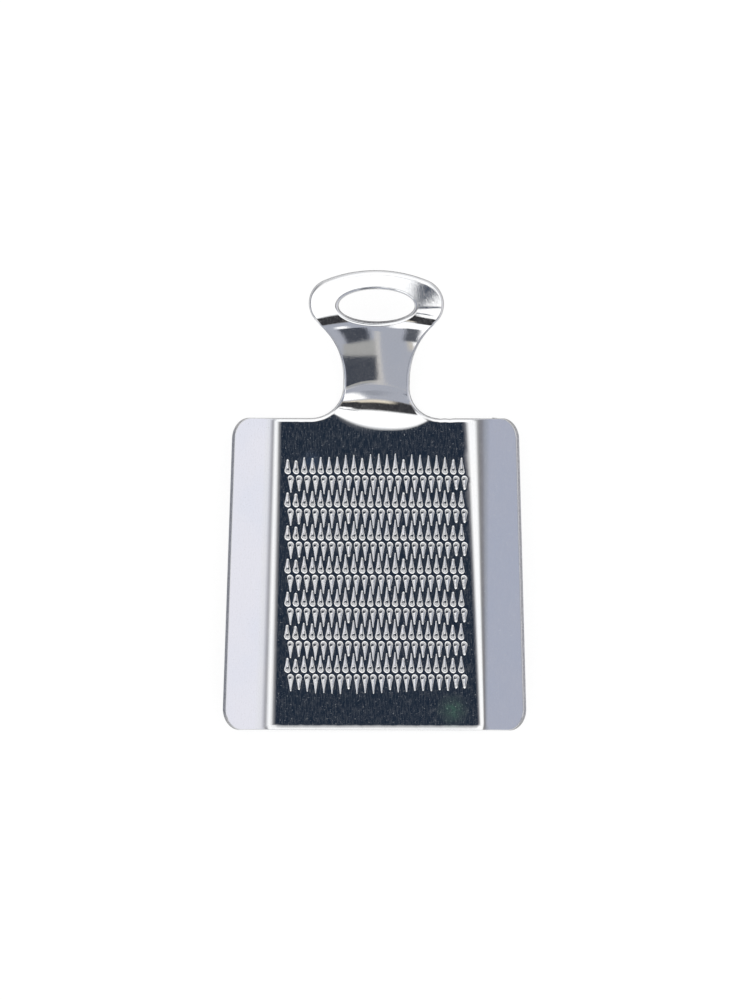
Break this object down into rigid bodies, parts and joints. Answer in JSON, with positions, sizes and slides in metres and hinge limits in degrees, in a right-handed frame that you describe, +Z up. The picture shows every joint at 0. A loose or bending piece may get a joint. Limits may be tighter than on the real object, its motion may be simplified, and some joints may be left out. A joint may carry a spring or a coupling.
{
  "type": "hand grater",
  "caption": "One-piece stainless hand grater: a flat panel of chiselled teeth between two folded-up wings, with a cranked handle and an oval hanging hole",
  "frame": {"origin": "middle of the plate's footprint, on the surface that the panel lies on", "axes": "+Y runs from the foot edge towards the handle, +Z is up off the panel, +X is across, towards the right-hand wing"},
  "size_m": [0.091, 0.139, 0.0233],
  "materials": {
    "stainless": "polished, with a very fine lengthwise grain"
  },
  "bodies": {
    "root": {"grater_plate": "stainless"}
  },
  "joints": []
}
